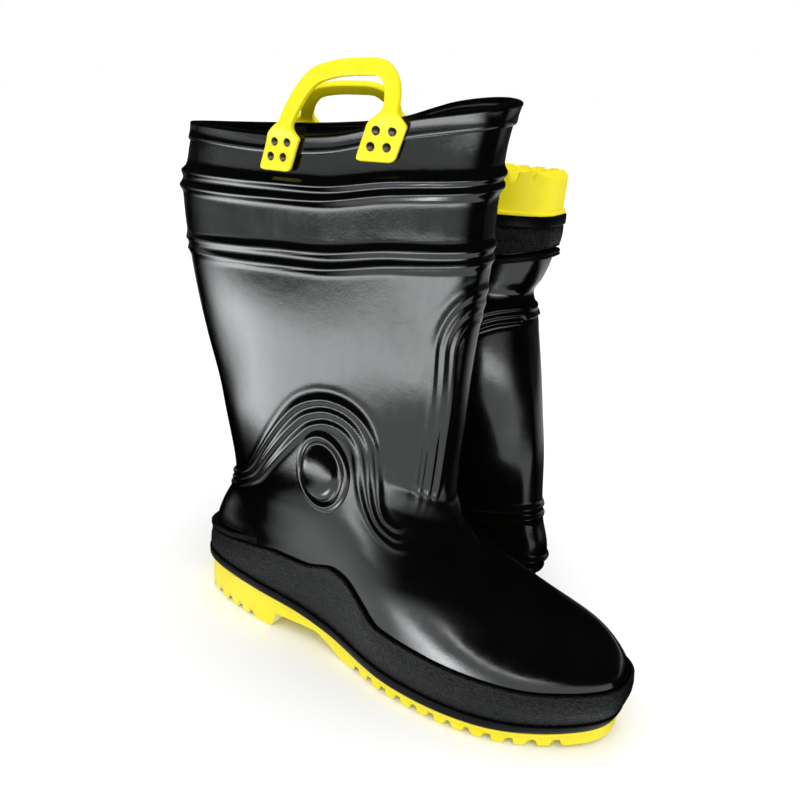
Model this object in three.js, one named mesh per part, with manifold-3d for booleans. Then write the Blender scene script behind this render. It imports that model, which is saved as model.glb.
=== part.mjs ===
// A pair of pull-on fire boots: the right boot stands on its tread, the left boot stands
// upside down on its collar beside it, toe to the rear. Millimetres, +Z up, +X towards the
// right boot's toe, +Y towards the left boot. The origin is the middle of the right heel tread.
import * as THREE from "three";
import * as BufferGeometryUtils from "three/addons/utils/BufferGeometryUtils.js";
import Module from "manifold-3d";

const wasm = await Module();
wasm.setup();

// ---------- driving dimensions, mm ----------
const footLength = 333;         // outsole, heel back to toe tip
const wall = 4.5;               // moulded upper
const fit = 0.4;                // gap between neighbouring pieces
const floorWall = 3;            // the upper's own bottom
const plateThickness = 1;       // steel penetration plate
const shankThickness = 1.5;
const boardThickness = 2;
const sockThickness = 1.5;      // textile lining
const footbedThickness = 5;
const capThickness = 1.8;       // steel toe cap
const randThickness = 2.4;
const bandThickness = 1.2;
const bandHeight = 11;
const padWidth = 24;
const padHeight = 20;
const padThickness = 3.4;
const padLean = 0.35;           // forward shift of a pad per mm of its height
const padX = [95, 163];         // top middle of the rear and front pad of the lateral handle
const medialSetBack = 44;       // the medial handle sits further back
const rivetSpacing = [9.5, 8.6];
const rivetDrop = 7.5;          // middle of the four rivets below the pad's top
const rivetRadius = 1.7;
const rivetHeadRadius = 2.5;
const hingeRise = 4;            // hinge line above the pad tops
const hingeOut = 5.2;           // hinge line outside the collar wall
const loopWidth = 9;
const loopThickness = 4.6;
const heelLength = 84;
const heelCentre = 40;          // middle of the heel tread, from the heel's back
const leftHeelX = 211;          // heel back of the inverted left boot
const leftCentreY = 120;
const leftRim = 338;            // level rim, settled under the boot's weight
const leftSlump = 18;            // its ankle bulges back as it settles
const degree = Math.PI / 180;
const seam = 0.6;               // gap between the outsole and what stands on it
const randGap = 0.8;
const capBack = 262;            // rear edge of the toe cap
const around = 24;              // sides of every section
const reachX = 60;              // how far cutting prisms pass beyond the boot
const reachY = 90;

// ---------- materials ----------
const surface = (color, roughness, metalness = 0) =>
  new THREE.MeshStandardMaterial({ color, roughness, metalness });
const materials = {
  rubber: surface(0x17181a, 0.3),
  rand: surface(0x202124, 0.8),
  yellow: surface(0xf4e60a, 0.45),
  lining: surface(0xb9b3a2, 0.95),
  footbed: surface(0x4c4f55, 0.9),
  board: surface(0x9a7b52, 0.85),
  steel: surface(0xa6abb0, 0.35, 1),
  rivet: surface(0x26231f, 0.4, 1),
};

// ---------- the boot's outer surface ----------
// Each section runs round the boot in a slightly tilted plane. Six stations from the heel side
// to the toe side give its height, half width and the sideways shift of its middle.
const stations = 6;
const shift = [0, -1, -5, -3, 0, 11];
const section = (back, front, z, half, lean = 1) =>
  ({ back, front, z, half, mid: shift.map((s) => s * lean) });

function sections({ rim, slump }) {
  const bulge = (row) => (row > 4 && row < 11 ? slump * Math.sin(((row - 4) * Math.PI) / 7) : 0);
  const rows = [
    section(2.8, 330.5, [29.1, 29.1, 18.1, 10.6, 10.6, 15.6], [43, 41.7, 31.2, 47.5, 54.6, 55]),
    section(2.6, 336.5, [46, 46, 41, 31, 30, 34], [43, 42, 32, 47, 54, 55.5]),
    section(4, 334, [62, 62, 58, 51, 50, 51], [41, 41.5, 34, 45, 50.5, 51], 0.9),
    section(8, 318, [75, 76, 75, 71, 69, 69], [39, 40, 36, 43, 45, 43], 0.8),
    section(13, 293, [85, 87, 88, 88, 85, 79], [38, 40, 38, 42, 40, 37], 0.6),
    section(18, 261, [94, 98, 102, 103, 99, 88], [37, 40, 40, 41, 38, 34], 0.4),
    section(21, 232, [104, 109, 115, 119, 115, 101], [36, 40, 42, 41, 37, 32], 0.2),
    section(22, 213, [117, 123, 130, 135, 133, 123], [35, 40, 43, 41, 37, 32], 0.1),
    section(17.5, 206, [139, 145, 151, 156, 157, 155], [35, 39, 42, 40, 36, 32], 0),
    section(8, 209, [169, 174, 180, 186, 189, 190], [34.5, 38, 40, 38.5, 36, 32], 0),
    section(-5, 212, [210, 215, 221, 227, 232, 235], [34, 37, 38, 37.5, 36, 33], 0),
    section(-18, 215, [259, 263, 268, 274, 280, 284], [33, 36, 37, 37, 36, 33], 0),
    section(-26, 216.5, rim.map((z) => z - 48), [33, 36, 37, 37, 36, 34], 0),
    section(-20.5, 218.5, rim.map((z) => z - 23), [33, 36, 37, 37, 36, 34], 0),
    section(-14, 223, rim, [33, 36, 37, 37, 36, 34], 0),
  ];
  return rows.map((row, i) => ({ ...row, back: row.back - bulge(i) }));
}

const curveAt = (values, t) => {
  const s = Math.min(Math.max(t, 0), 1) * (values.length - 1);
  const i = Math.min(Math.floor(s), values.length - 2);
  const f = s - i;
  const at = (k) => values[Math.min(Math.max(k, 0), values.length - 1)];
  const [p0, p1, p2, p3] = [at(i - 1), at(i), at(i + 1), at(i + 2)];
  return p1 + 0.5 * f * (p2 - p0 + f * (2 * p0 - 5 * p1 + 4 * p2 - p3 + f * (3 * (p1 - p2) + p3 - p0)));
};

const heelBluntLevel = 0.36;    // the low heel's back is nearly square in plan up to here

class BootForm {
  constructor(pose) {
    this.rows = sections(pose);
    this.tilt = pose.tilt;
  }
  // angle 0 is the heel's back, pi the toe's tip, the lateral side is between them
  point(angle, v) {
    const t = (1 - Math.cos(angle)) / 2;
    const level = (pick) => curveAt(this.rows.map(pick), v);
    const x = level((r) => r.back) + (level((r) => r.front) - level((r) => r.back)) * t;
    const nearHeel = Math.pow((1 + Math.cos(angle)) / 2, 2) * (1 - THREE.MathUtils.smoothstep(v, 0, heelBluntLevel));
    const blunt = Math.pow(Math.abs(Math.sin(angle)), 0.8 - 0.25 * nearHeel);
    const half = level((r) => curveAt(r.half, t)) * blunt;
    const mid = level((r) => curveAt(r.mid, t));
    const raised = this.tilt * t * -Math.sin(angle) * Math.pow(Math.max(v, 0), 8);
    const z = level((r) => curveAt(r.z, t)) + raised;
    return new THREE.Vector3(x, mid - Math.sign(Math.sin(angle)) * half, z);
  }
  normal(angle, v) {
    const step = 0.02;
    const along = this.point(angle + step, v).sub(this.point(angle - step, v));
    const up = this.point(angle, Math.min(v + step, 1)).sub(this.point(angle, Math.max(v - step, 0)));
    return along.cross(up).normalize();
  }
  offset(angle, v, out) {
    return this.point(angle, v).addScaledVector(this.normal(angle, v), out);
  }
  // section parameter where the surface reaches height z at this angle
  levelAt(angle, z) {
    let low = 0;
    let high = 1;
    for (let i = 0; i < 24; i += 1) {
      const middle = (low + high) / 2;
      if (this.point(angle, middle).z < z) low = middle;
      else high = middle;
    }
    return (low + high) / 2;
  }
  // point and outward normal on one side (-1 lateral, 1 medial) at side-view position x, z
  onSide(side, x, z) {
    let v = 0.5;
    let angle = Math.PI / 2;
    for (let i = 0; i < 8; i += 1) {
      const back = this.point(0, v).x;
      const front = this.point(Math.PI, v).x;
      angle = Math.acos(THREE.MathUtils.clamp(1 - (2 * (x - back)) / (front - back), -1, 1));
      if (side > 0) angle = 2 * Math.PI - angle;
      v = this.levelAt(angle, z);
    }
    return { point: this.point(angle, v), normal: this.normal(angle, v) };
  }
  placed(side, x, z, out) {
    const { point, normal } = this.onSide(side, x, z);
    return point.addScaledVector(normal, out);
  }
}

// ---------- closed meshes from point grids ----------
function geometryFrom(points, triangles) {
  const geometry = new THREE.BufferGeometry();
  const position = points.flatMap((p) => [p.x, p.y, p.z]);
  geometry.setAttribute("position", new THREE.Float32BufferAttribute(position, 3));
  const volume = triangles.reduce((sum, [a, b, c]) =>
    sum + points[a].dot(points[b].clone().cross(points[c])), 0);
  geometry.setIndex(triangles.flatMap(([a, b, c]) => (volume > 0 ? [a, b, c] : [a, c, b])));
  return geometry;
}

function bridge(triangles, lower, upper, n) {
  for (let i = 0; i < n; i += 1) {
    const next = (i + 1) % n;
    triangles.push([lower + i, lower + next, upper + next], [lower + i, upper + next, upper + i]);
  }
}

// rings are closed loops of equal, even length; each cap joins the two sides of its ring
function loft(rings) {
  const n = rings[0].length;
  const triangles = [];
  for (let j = 0; j + 1 < rings.length; j += 1) bridge(triangles, j * n, (j + 1) * n, n);
  const cap = (base, flip) => {
    for (let i = 0; i < n / 2; i += 1) {
      const [a, b, c, d] = [base + i, base + i + 1, base + ((n - i) % n), base + n - i - 1];
      for (const corner of [[a, b, d], [a, d, c]]) {
        if (new Set(corner).size === 3) triangles.push(flip ? corner.toReversed() : corner);
      }
    }
  };
  cap(0, true);
  cap((rings.length - 1) * n, false);
  return geometryFrom(rings.flat(), triangles);
}

// the last ring joins the first, which makes a closed hoop
function hoop(rings) {
  const n = rings[0].length;
  const triangles = [];
  rings.forEach((_, j) => bridge(triangles, j * n, ((j + 1) % rings.length) * n, n));
  return geometryFrom(rings.flat(), triangles);
}

function toSolid(geometry) {
  const bare = geometry.clone();
  bare.deleteAttribute("normal");
  bare.deleteAttribute("uv");
  const merged = BufferGeometryUtils.mergeVertices(bare, 1e-4);
  return new wasm.Manifold(new wasm.Mesh({
    numProp: 3,
    vertProperties: new Float32Array(merged.attributes.position.array),
    triVerts: new Uint32Array(merged.index.array),
  }));
}

function fromSolid(solid) {
  const mesh = solid.getMesh();
  const geometry = new THREE.BufferGeometry();
  geometry.setAttribute("position", new THREE.BufferAttribute(new Float32Array(mesh.vertProperties), 3));
  geometry.setIndex(new THREE.BufferAttribute(new Uint32Array(mesh.triVerts), 1));
  return geometry;
}

const union = (solids) => solids.reduce((whole, next) => whole.add(next));

function boxSolid(low, high) {
  const size = high.map((h, i) => h - low[i]);
  const box = new THREE.BoxGeometry(...size);
  box.translate(...low.map((l, i) => l + size[i] / 2));
  return toSolid(box);
}

// a cylinder from one distance to another along a direction
function rod({ point, normal }, from, to, radius, sides = 6) {
  const cylinder = new THREE.CylinderGeometry(radius, radius, to - from, sides);
  cylinder.translate(0, (from + to) / 2, 0);
  cylinder.applyQuaternion(new THREE.Quaternion().setFromUnitVectors(THREE.Object3D.DEFAULT_UP, normal));
  cylinder.translate(point.x, point.y, point.z);
  return toSolid(cylinder);
}

const angles = Array.from({ length: around }, (_, i) => (2 * Math.PI * i) / around);

// ---------- sole and the layers above it ----------
const soleTopZ = [28.5, 28.5, 28.5, 25, 17.5, 12, 10, 9.5, 10, 11.6, 15];
const soleTop = (x) => curveAt(soleTopZ, x / footLength);

const plateLow = seam + floorWall + fit;
const shankLow = plateLow + plateThickness + fit;
const boardLow = shankLow + shankThickness + fit;
const sockLow = boardLow + boardThickness + fit;
const footbedLow = sockLow + sockThickness + fit;
const capRoom = capThickness + 1;         // extra inset of the lining over the toe
const sockInset = wall + 1;               // the textile lining and the toe cap inside the wall

const outline = (form, inset) => angles.map((angle) => form.offset(angle, 0.02, randThickness + randGap - inset));

// a prism across the boot between two side-view lines
function acrossPrism(points) {
  const side = new THREE.Shape(points.map(([x, z]) => new THREE.Vector2(x, z)));
  const prism = new THREE.ExtrudeGeometry(side, { depth: 2 * reachY, bevelEnabled: false });
  prism.rotateX(Math.PI / 2);
  prism.translate(0, reachY, 0);
  return toSolid(prism);
}

// the sole's top as a polyline, raised; every layer is cut along the same knots
function soleLine(rise) {
  const knots = 12;
  const line = Array.from({ length: knots + 1 }, (_, i) => (footLength * i) / knots);
  return [[-reachX, soleTop(0) + rise], ...line.map((x) => [x, soleTop(x) + rise]),
    [footLength + reachX, soleTop(footLength) + rise]];
}
const above = (rise) => acrossPrism([...soleLine(rise), [footLength + reachX, 500], [-reachX, 500]]);
const layer = (low, high) => acrossPrism([...soleLine(low), ...soleLine(high).toReversed()]);

function column(form, inset) {
  const ring = (z) => outline(form, inset).map((p) => new THREE.Vector3(p.x, p.y, z));
  return toSolid(loft([ring(-10), ring(70)]));
}

// a sheet that follows the sole's top
function soleSheet(form, { inset, low, thickness, limits }) {
  const sheet = column(form, inset).intersect(layer(low, low + thickness));
  return fromSolid(limits ? sheet.intersect(boxSolid(...limits)) : sheet);
}

// the boot's form filled in, inside the outer surface, standing some way above the sole
function filled(form, { inset, rise, levels, extend = 0 }) {
  const rings = levels.map((level) => angles.map((angle) => {
    const v = level / (form.rows.length - 1);
    const p = form.offset(angle, v, -inset(form.point(angle, v)));
    return p;
  }));
  rings.unshift(rings[0].map((p) => new THREE.Vector3(p.x, p.y, -20)));
  if (extend > 0) rings.push(rings.at(-1).map((p) => new THREE.Vector3(p.x, p.y, p.z + extend)));
  return toSolid(loft(rings)).intersect(above(rise));
}

const toeRoom = (x) => capRoom * THREE.MathUtils.smoothstep(x, capBack - 50, capBack - 22);
// rows of the surface that the shells have corners on
const allLevels = [0, 1, 2, 3, 4, 5.5, 7, 8.5, 10.2, 12, 13, 14];
const liningLevels = allLevels.slice(0, -2);

function upperShell(form, holes) {
  const outside = filled(form, { inset: () => 0, rise: seam, levels: allLevels });
  const inside = filled(form, { inset: () => wall, rise: seam + floorWall, levels: allLevels, extend: 20 });
  return fromSolid(outside.subtract(inside).subtract(holes));
}

function liningSock(form) {
  const inset = (extra) => (p) => sockInset + extra + toeRoom(p.x);
  const outside = filled(form, { inset: inset(0), rise: sockLow, levels: liningLevels });
  const inside = filled(form, {
    inset: inset(sockThickness), rise: sockLow + sockThickness, levels: liningLevels, extend: 20,
  });
  return fromSolid(outside.subtract(inside));
}

function toeCap(form) {
  const levels = allLevels.slice(0, 7);
  const outside = filled(form, { inset: () => sockInset, rise: boardLow, levels });
  const inside = filled(form, { inset: () => sockInset + capThickness, rise: 0, levels });
  const toe = boxSolid([capBack, -100, 0], [400, 100, 120]);
  return fromSolid(outside.subtract(inside).intersect(toe));
}

// ---------- outsole ----------
const breast = 4;               // slope length of the heel's front face
const waistRise = 13;
const waistEnd = 150;
const toeSpringStart = 283;
const toeSpring = 8;
const treadDepth = 4.5;
const lugPitch = 13;
const lugSlot = 5;
const lugReach = 15;

const heelBevel = 5;            // the tread's back edge lifts off the ground

function outsole(form) {
  const tread = [[-reachX, heelBevel + 3], [0, heelBevel], [10, 0], [heelLength, 0], [heelLength + breast, waistRise],
    [waistEnd - 25, waistRise - 1], [waistEnd, 0], [toeSpringStart, 0], [footLength + reachX, toeSpring]];
  const sole = column(form, 0).intersect(acrossPrism([...tread, ...soleLine(0).toReversed()]));
  const slots = [];
  for (let x = 8; x < footLength - 20; x += lugPitch) {
    if (x > heelLength - 12 && x < waistEnd + 8) continue;
    const angle = Math.acos(1 - (2 * x) / footLength);
    const lateral = form.point(angle, 0).y;
    const medial = form.point(2 * Math.PI - angle, 0).y;
    slots.push(boxSolid([x, lateral - 20, -5], [x + lugSlot, lateral + lugReach, treadDepth]));
    slots.push(boxSolid([x, medial - lugReach, -5], [x + lugSlot, medial + 20, treadDepth]));
  }
  return fromSolid(sole.subtract(union(slots)));
}

// ---------- rand, collar band, heel spur, ankle pads ----------
// height of the rand's top edge: high beside the heel, a half-moon at the waist, low at the forefoot
const randEdge = [[0, 50], [40, 58], [83, 67], [118, 67], [143, 75], [158, 71], [166, 58], [178, 46], [230, 42],
  [290, 41], [340, 45]];

function randTop(x) {
  const next = randEdge.findIndex(([edgeX]) => edgeX > x);
  if (next < 1) return randEdge.at(next).at(1);
  const [[x0, z0], [x1, z1]] = [randEdge[next - 1], randEdge[next]];
  return z0 + ((z1 - z0) * (x - x0)) / (x1 - x0);
}

function rand(form) {
  const row = 1 / (form.rows.length - 1);
  const levels = angles.map((angle) => {
    const top = Math.max(form.levelAt(angle, randTop(form.point(angle, row).x)), 1.2 * row);
    return [0, row, Math.min(2 * row, (row + top) / 2), top];
  });
  const outer = randGap + randThickness;
  const ring = (pick, out) => angles.map((angle, i) => form.offset(angle, levels[i][pick], out));
  const drop = (points) => points.map((p) => new THREE.Vector3(p.x, p.y, 5));
  const strip = hoop([drop(ring(0, randGap)), drop(ring(0, outer)), ring(0, outer), ring(1, outer), ring(2, outer),
    ring(3, outer), ring(3, randGap), ring(2, randGap), ring(1, randGap), ring(0, randGap)]);
  const skin = filled(form, { inset: () => -fit, rise: seam, levels: allLevels });
  return fromSolid(toSolid(strip).intersect(above(seam)).subtract(skin));
}

function collarBand(form, holes) {
  const low = (angle) => form.levelAt(angle, form.point(angle, 1).z - bandHeight);
  const ring = (top, out) => angles.map((angle) => form.offset(angle, top ? 1 : low(angle), out));
  const outer = fit + bandThickness;
  const band = hoop([ring(false, fit), ring(false, outer), ring(true, outer), ring(true, fit)]);
  return fromSolid(toSolid(band).subtract(holes));
}

// a ledge round the back of the heel, to push the boot off with the other foot
function kickSpur(form) {
  const spread = 0.85;
  const steps = 4;
  const rings = [];
  for (let i = -steps; i <= steps; i += 1) {
    const angle = (spread * i) / steps;
    const reach = 1.5 + 3 * Math.cos(angle * 1.6);
    const low = randTop(form.point(angle, 0.1).x) + 2;
    const at = (z, out) => form.offset(angle, form.levelAt(angle, z), out);
    rings.push([at(low, -2), at(low, reach - 1.5), at(low + 5, reach), at(low + 5, -2)]);
  }
  const backed = filled(form, { inset: () => -fit, rise: seam, levels: allLevels });
  return fromSolid(toSolid(loft(rings)).subtract(backed));
}

const oval = (steps, rx, rz) => Array.from({ length: steps }, (_, i) => {
  const turn = (2 * Math.PI * i) / steps;
  return [rx * Math.cos(turn), rz * Math.sin(turn)];
});

function anklePad(form, side) {
  const centre = [129, 146];
  const ring = (scale, out) => oval(12, 20.5 * scale, 29 * scale).map(([x, z]) =>
    form.placed(side, centre[0] + x - 0.08 * z, centre[1] + z, out));
  const disc = toSolid(loft([ring(1, -2), ring(1, 2), ring(0.8, 3), ring(0.4, 3.4)]));
  return fromSolid(disc.subtract(filled(form, { inset: () => -fit, rise: seam, levels: allLevels })));
}

// ---------- handles: two riveted pads and a loop on each side of the collar ----------
const padInner = fit * 2 + bandThickness + 0.2;

// a point so far below the middle of a pad's top edge, along its lean
const padMiddle = (x, top, drop) => [x - padLean * drop, top - drop];

function patch(form, side, corners, inner, outer) {
  const ring = (out) => corners.map(([x, z]) => form.placed(side, x, z, out));
  return loft([ring(inner), ring(outer)]);
}

function rivetPlaces(form, side, x, top) {
  const [cx, cz] = padMiddle(x, top, rivetDrop);
  const places = [];
  for (const i of [-0.5, 0.5]) {
    for (const k of [-0.5, 0.5]) {
      const rise = k * rivetSpacing[1];
      places.push(form.onSide(side, cx + i * rivetSpacing[0] + padLean * rise, cz + rise));
    }
  }
  return places;
}

function slanted(x, top, drop, width, height) {
  const [cx, cz] = padMiddle(x, top, drop);
  return [[0.5, 0.5], [-0.5, 0.5], [-0.5, -0.5], [0.5, -0.5]].map(([i, k]) =>
    [cx + i * width + k * height * padLean, cz + k * height]);
}

const allRods = (places, from, to, radius) => union(places.map((place) => rod(place, from, to, radius)));

function handlePad(form, side, x, top) {
  const pad = patch(form, side, slanted(x, top, padHeight / 2, padWidth, padHeight), padInner, padInner + padThickness);
  const holes = allRods(rivetPlaces(form, side, x, top), -5, 15, rivetRadius + fit);
  return fromSolid(toSolid(pad).subtract(holes));
}

// four rivets clinched on one backing plate inside the wall
function rivetSet(form, side, x, top) {
  const places = rivetPlaces(form, side, x, top);
  const plate = toSolid(patch(form, side, slanted(x, top, rivetDrop + 0.5, 16, 14), -wall - 1.9, -wall - 0.7));
  const shanks = allRods(places, -wall - 1.4, padInner + padThickness + 1.2, rivetRadius);
  const face = padInner + padThickness + 0.5;
  const heads = allRods(places, face, face + 1.5, rivetHeadRadius);
  return fromSolid(union([plate, shanks, heads]));
}

// the neck of a handle above one pad, where the loop bends
function neck(form, side, { x, top }) {
  const { point, normal } = form.onSide(side, x + padLean * hingeRise, top - 1);
  point.addScaledVector(normal, hingeOut);
  return new THREE.Vector3(point.x, point.y, top + hingeRise);
}

// the loop's middle line as parts of the pad spacing along it and mm above the necks
const loopLine = [[0, 0], [0.05, 6], [0.13, 12.5], [0.24, 20], [0.38, 26], [0.56, 28], [0.78, 26.5], [0.92, 24],
  [1.01, 18], [1.03, 9], [1, 0]];

// the loop bends about the line through both necks; fold is its outward bend at rest
function handleLoop(form, side, pads, fold) {
  const steps = 15;
  const [rear, front] = pads.map((pad) => neck(form, side, pad));
  const spacing = rear.distanceTo(front);
  const forward = front.clone().sub(rear).normalize();
  const outward = new THREE.Vector3(forward.y, -forward.x, 0).multiplyScalar(-side).normalize();
  const upward = outward.clone().cross(forward).multiplyScalar(-side);
  const out = outward.clone().multiplyScalar(Math.cos(fold)).addScaledVector(upward, -Math.sin(fold));
  const up = upward.clone().multiplyScalar(Math.cos(fold)).addScaledVector(outward, Math.sin(fold));
  const at = (t) => new THREE.Vector2(
    spacing * curveAt(loopLine.map((p) => p[0]), t), curveAt(loopLine.map((p) => p[1]), t));
  const rings = [];
  for (let i = 0; i <= steps; i += 1) {
    const t = i / steps;
    const middle = at(t);
    const along = at(Math.min(t + 0.01, 1)).sub(at(Math.max(t - 0.01, 0))).normalize();
    rings.push([[-1, -1], [1, -1], [1, 1], [-1, 1]].map(([across, thick]) =>
      rear.clone()
        .addScaledVector(forward, middle.x - along.y * across * (loopWidth / 2))
        .addScaledVector(up, middle.y + along.x * across * (loopWidth / 2))
        .addScaledVector(out, thick * (loopThickness / 2))));
  }
  return loft(rings);
}

// ---------- one boot, right-footed, heel back at x = 0, lateral side at -y ----------
function boot(pose) {
  const form = new BootForm(pose);
  const sides = { lateral: -1, medial: 1 };
  const padsOn = (side) => padX.map((lateralX) => {
    const x = side > 0 ? lateralX - medialSetBack : lateralX;
    return { x, top: form.onSide(side, x, 500).point.z - pose.padDrop };
  });
  const ends = ["rear", "front"];
  const pieces = [];
  const add = (name, geometry, material) => pieces.push({ name, geometry, material });
  const places = Object.values(sides).flatMap((side) =>
    padsOn(side).flatMap(({ x, top }) => rivetPlaces(form, side, x, top)));
  const holes = allRods(places, -15, 10, rivetRadius + fit);
  add("upper", upperShell(form, holes), materials.rubber);
  add("collar_band", collarBand(form, holes), materials.rubber);
  add("rand", rand(form), materials.rand);
  add("kick_spur", kickSpur(form), materials.rand);
  add("outsole", outsole(form), materials.yellow);
  add("penetration_plate", soleSheet(form, { inset: 10, low: plateLow, thickness: plateThickness }), materials.steel);
  add("shank", soleSheet(form, {
    inset: 12, low: shankLow, thickness: shankThickness, limits: [[55, -11, 0], [185, 7, 100]],
  }), materials.steel);
  add("insole_board", soleSheet(form, { inset: 13, low: boardLow, thickness: boardThickness }), materials.board);
  add("toe_cap", toeCap(form), materials.steel);
  add("lining", liningSock(form), materials.lining);
  add("footbed", soleSheet(form, {
    inset: 15.5, low: footbedLow, thickness: footbedThickness,
  }), materials.footbed);
  for (const [sideName, side] of Object.entries(sides)) {
    add(`ankle_pad_${sideName}`, anklePad(form, side), materials.rubber);
    padsOn(side).forEach(({ x, top }, i) => {
      add(`handle_pad_${sideName}_${ends[i]}`, handlePad(form, side, x, top), materials.yellow);
      add(`rivets_${sideName}_${ends[i]}`, rivetSet(form, side, x, top), materials.rivet);
    });
    add(`handle_loop_${sideName}`, handleLoop(form, side, padsOn(side), pose.folds[sideName]), materials.yellow);
  }
  return pieces;
}

// ---------- the pair ----------
// tilt raises the collar's medial side, padDrop is from the rim to the pads' tops
const rightBoot = {
  rim: [360, 360, 360.5, 364, 375, 380],
  tilt: 7,
  slump: 0,
  padDrop: 0.5,
  folds: { lateral: -4 * degree, medial: -52 * degree },
};
const leftBoot = {
  rim: Array(stations).fill(leftRim),
  tilt: 0,
  slump: leftSlump,
  padDrop: 8,
  folds: { lateral: 120 * degree, medial: 120 * degree },
};

// the left boot is the right one's mirror image turned upside down, which is a reflection
// through a point, so its triangles turn round too
function inverted(geometry) {
  const turned = geometry.clone();
  turned.scale(-1, -1, -1);
  turned.translate(leftHeelX, leftCentreY, leftRim);
  const index = turned.getIndex().array;
  for (let i = 0; i < index.length; i += 3) [index[i + 1], index[i + 2]] = [index[i + 2], index[i + 1]];
  return turned;
}

const pair = new THREE.Group();

function place(prefix, pieces, turn) {
  for (const { name, geometry, material } of pieces) {
    const mesh = new THREE.Mesh(turn(geometry), material);
    mesh.name = `${prefix}_${name}`;
    mesh.position.x = -heelCentre;
    pair.add(mesh);
  }
}

place("right", boot(rightBoot), (geometry) => geometry);
place("left", boot(leftBoot), inverted);

export default pair;
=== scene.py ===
"""A pair of fire boots: the right one stands on its tread, the left one upside down beside it.

Every boot is worked out in its own right-footed frame in millimetres: heel back at x = 0, toe
towards +x, lateral side at -y, ground at z = 0. Boot.place puts it in the row frame in metres.
"""

import math

import bpy
import numpy as np
from mathutils import Matrix, Vector

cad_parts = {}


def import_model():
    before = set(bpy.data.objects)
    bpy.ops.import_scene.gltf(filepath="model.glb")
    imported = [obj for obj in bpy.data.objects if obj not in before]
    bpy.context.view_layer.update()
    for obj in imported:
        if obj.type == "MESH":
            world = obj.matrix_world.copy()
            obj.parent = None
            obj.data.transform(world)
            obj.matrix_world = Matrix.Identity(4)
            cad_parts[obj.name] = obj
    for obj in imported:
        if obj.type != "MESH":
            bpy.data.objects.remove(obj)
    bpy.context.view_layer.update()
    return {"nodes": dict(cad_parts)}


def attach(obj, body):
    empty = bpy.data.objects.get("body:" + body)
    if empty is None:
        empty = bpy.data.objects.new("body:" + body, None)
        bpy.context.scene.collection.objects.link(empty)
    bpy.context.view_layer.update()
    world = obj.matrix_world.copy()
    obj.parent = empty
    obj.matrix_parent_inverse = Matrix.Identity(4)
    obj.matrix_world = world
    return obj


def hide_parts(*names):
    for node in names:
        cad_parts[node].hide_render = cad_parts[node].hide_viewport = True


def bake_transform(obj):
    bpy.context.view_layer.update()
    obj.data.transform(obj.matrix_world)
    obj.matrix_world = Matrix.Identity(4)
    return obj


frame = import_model()

# ---------- driving dimensions, mm ----------
FOOT = 333.0            # outsole length
WALL = 4.5              # moulded upper
FLOOR_WALL = 3.0        # the upper's own bottom
SEAM = 0.6              # gap above the outsole
RAND_GAP = 0.8
RAND = 2.4              # thickness of the rand
OUTLINE = RAND_GAP + RAND
HEEL_CENTRE = 40.0
HEEL_LENGTH = 84.0
HEEL_BEVEL = 5.0
HEEL_BLUNT_LEVEL = 0.36  # the heel's back is nearly square in plan up to here
PAD_X = (95.0, 163.0)   # top middle of the pads of the lateral handle
MEDIAL_SET_BACK = 44.0
PAD_LEAN = 0.35
PAD_WIDTH = 24.0
PAD_HEIGHT = 20.0
PAD_INNER = 2.2         # back of a pad, out from the collar wall
PAD_THICK = 3.4
HINGE_RISE = 4.0
HINGE_OUT = 5.2
LOOP_WIDTH = 9.0
LOOP_THICK = 4.8
RIVET_SPACING = (9.5, 8.6)
RIVET_DROP = 7.5        # middle of the four rivets below the pad top
LEFT_HEEL_X, LEFT_CENTRE_Y, LEFT_RIM = 211.0, 120.0, 338.0
STATIONS = 6
MM = 0.001


# ---------- numbers along a curve ----------
def catmull_rom(p0, p1, p2, p3, f):
    return p1 + 0.5 * f * (p2 - p0 + f * (2 * p0 - 5 * p1 + 4 * p2 - p3 + f * (3 * (p1 - p2) + p3 - p0)))


def curve_at(values, t):
    """Catmull-Rom through values, which has the stations on its first axis."""
    values = np.asarray(values, float)
    last = len(values) - 1
    s = np.asarray(np.clip(t, 0, 1) * last)
    i = np.minimum(np.floor(s).astype(int), last - 1)
    f = (s - i).reshape(s.shape + (1,) * (values.ndim - 1))
    return catmull_rom(*(values[np.clip(i + k, 0, last)] for k in (-1, 0, 1, 2)), f)


def stepped(low, high, x):
    """0 below low, 1 above high, smooth between."""
    t = np.clip((np.asarray(x, float) - low) / (high - low), 0, 1)
    return t * t * (3 - 2 * t)


def square(wave, power=0.3):
    """Turns a round section's sine or cosine into a squarer one."""
    return np.sign(wave) * np.abs(wave) ** power


def hump(x, width):
    return np.exp(-((x / width) ** 2))


SOLE_TOP = (28.5, 28.5, 28.5, 25, 17.5, 12, 10, 9.5, 10, 11.6, 15)


def sole_top(x):
    return curve_at(SOLE_TOP, x / FOOT)


# ---------- the boot's outer surface ----------
SHIFT = np.array([0, -1, -5, -3, 0, 11.0])


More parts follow.
